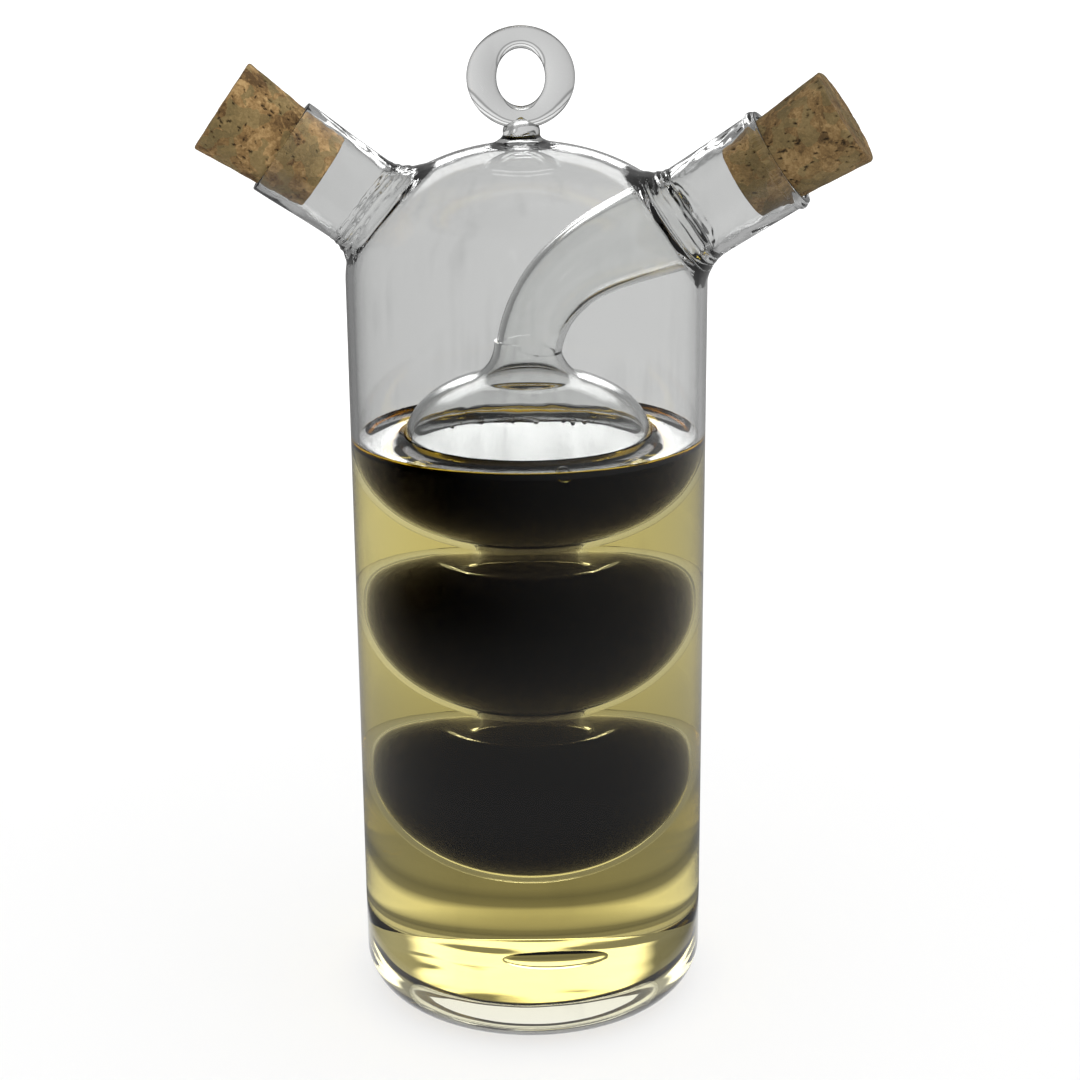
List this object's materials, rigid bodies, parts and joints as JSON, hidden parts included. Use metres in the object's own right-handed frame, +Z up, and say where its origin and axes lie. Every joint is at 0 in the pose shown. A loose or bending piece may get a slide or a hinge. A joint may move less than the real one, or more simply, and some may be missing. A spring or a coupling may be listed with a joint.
{
  "type": "oil and vinegar dispenser",
  "caption": "Clear cylindrical cruet with a lobed inner flask for vinegar and an outer jacket for oil, a tilted corked spout on either side and a hanging loop on its crown.",
  "frame": {"origin": "middle of the flat underside, on the outer flask's axis", "axes": "+Z up along the flask's axis, +X towards the vinegar spout, -Y towards the front"},
  "size_m": [0.1175, 0.065, 0.1819],
  "materials": {
    "body_glass": "clear blown glass, fire-polished",
    "vessel_glass": "clear blown glass, fire-polished",
    "cork": "natural cork, matt with small dark pits",
    "olive_oil": "clear yellow-green liquid",
    "dark_vinegar": "nearly black liquid"
  },
  "bodies": {
    "flask": {"outer_body": "body_glass", "inner_vessel": "vessel_glass", "riser_tube": "vessel_glass", "oil_spout": "body_glass", "vinegar_spout": "body_glass", "hanging_loop": "body_glass", "oil_fill": "olive_oil", "vinegar_fill": "dark_vinegar"},
    "oil_stopper": {"oil_cork": "cork"},
    "vinegar_stopper": {"vinegar_cork": "cork"}
  },
  "joints": [
    {"name": "oil_cork_slide", "type": "slide", "parent": "flask", "child": "oil_stopper", "axis": [-0.8104, -0.078, 0.5807], "range_m": [0, 0.04]},
    {"name": "vinegar_cork_slide", "type": "slide", "parent": "flask", "child": "vinegar_stopper", "axis": [0.8153, -0.1882, 0.5476], "range_m": [0, 0.04]}
  ]
}
